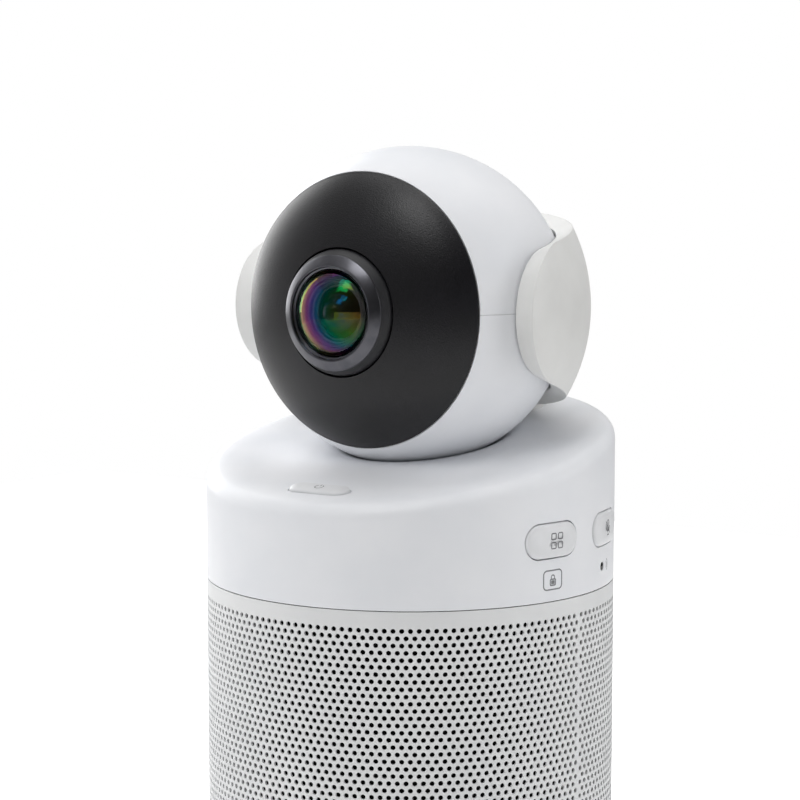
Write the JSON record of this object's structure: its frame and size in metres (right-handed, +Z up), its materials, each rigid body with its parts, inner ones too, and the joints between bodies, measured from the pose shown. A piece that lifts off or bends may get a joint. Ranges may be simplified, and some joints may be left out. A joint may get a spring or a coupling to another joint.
{
  "type": "conference camera",
  "caption": "Table-top speaker tower with a tilting ball camera: perforated drum, slanted top with press buttons, rear yoke and a fisheye lens in a dark cover.",
  "frame": {"origin": "centre of the underside, on the surface that the foot ring rests on", "axes": "+Z up along the tower, -Y towards the lens and the front, +X towards the side with the press buttons"},
  "size_m": [0.0905, 0.09, 0.239],
  "materials": {
    "white_housing": "fine moulded satin",
    "yoke_plastic": "fine moulded satin",
    "button_plastic": "satin",
    "black_cover": "fine-grained matte",
    "lens_trim": "anodised, turned",
    "lens_glass": "coated optical glass",
    "grille_metal": "powder coated, perforated",
    "acoustic_cloth": "woven",
    "base_plastic": "moulded texture",
    "chassis_plastic": "moulded",
    "inlet_plastic": "moulded",
    "bush_plastic": "moulded acetal",
    "rubber": "matt",
    "brass": "turned",
    "screw_steel": "zinc plated",
    "plated_steel": "nickel plated",
    "cast_aluminium": "die cast",
    "circuit_board": "solder mask",
    "speaker_paper": "pressed paper",
    "ferrite": "sintered",
    "light_pipe": "clear tinted"
  },
  "bodies": {
    "tower": {"foot_ring": "rubber", "base_plate": "base_plastic", "tripod_insert": "brass", "base_screw_1": "screw_steel", "base_screw_2": "screw_steel", "base_screw_3": "screw_steel", "base_weight": "plated_steel", "chassis_tube": "chassis_plastic", "grille_tube": "grille_metal", "grille_cloth": "acoustic_cloth", "front_baffle": "chassis_plastic", "rear_baffle": "chassis_plastic", "speaker_basket": "plated_steel", "speaker_surround": "rubber", "speaker_cone": "speaker_paper", "speaker_magnet": "ferrite", "radiator_frame": "plated_steel", "radiator_surround": "rubber", "radiator_plate": "speaker_paper", "bulkhead": "chassis_plastic", "main_board": "circuit_board", "processor_shield": "plated_steel", "heat_sink": "cast_aluminium", "microphone_board": "circuit_board", "port_panel": "base_plastic", "usb_c_port": "plated_steel", "dc_inlet": "inlet_plastic", "dc_inlet_pin": "plated_steel", "socket_board": "circuit_board", "top_housing": "white_housing", "mode_switch": "plated_steel", "mute_switch": "plated_steel", "side_button_board": "circuit_board", "status_lamp": "light_pipe", "power_switch": "plated_steel", "power_button_board": "circuit_board", "yoke_shell": "yoke_plastic", "neck_bracket": "cast_aluminium", "pivot_bush_right": "bush_plastic", "pivot_bush_left": "bush_plastic"},
    "head": {"head_shell_upper": "white_housing", "head_shell_lower": "white_housing", "front_cover": "black_cover", "lens_bezel": "lens_trim", "front_element": "lens_glass", "lens_barrel": "inlet_plastic", "rear_element": "lens_glass", "sensor_board": "circuit_board", "image_sensor": "ferrite", "head_frame": "cast_aluminium", "pivot_pin_right": "plated_steel", "pivot_nut_right": "plated_steel", "pivot_pin_left": "plated_steel", "pivot_nut_left": "plated_steel"},
    "mode_key": {"mode_button": "button_plastic"},
    "mute_key": {"mute_button": "button_plastic"},
    "power_key": {"power_button": "button_plastic"}
  },
  "joints": [
    {"name": "head_tilt", "type": "hinge", "parent": "tower", "child": "head", "pos_m": [0, 0, 0.204], "axis": [-1, 0, 0], "range_deg": [-30, 90]},
    {"name": "mode_press", "type": "slide", "parent": "tower", "child": "mode_key", "axis": [-0.9622, 0.2723, 0], "range_m": [0, 0.0008], "stiffness_N_per_m": 1500},
    {"name": "mute_press", "type": "slide", "parent": "tower", "child": "mute_key", "axis": [-0.9806, -0.1959, 0], "range_m": [0, 0.0008], "stiffness_N_per_m": 1500},
    {"name": "power_press", "type": "slide", "parent": "tower", "child": "power_key", "axis": [0, 0.1908, -0.9816], "range_m": [0, 0.0008], "stiffness_N_per_m": 1500}
  ]
}
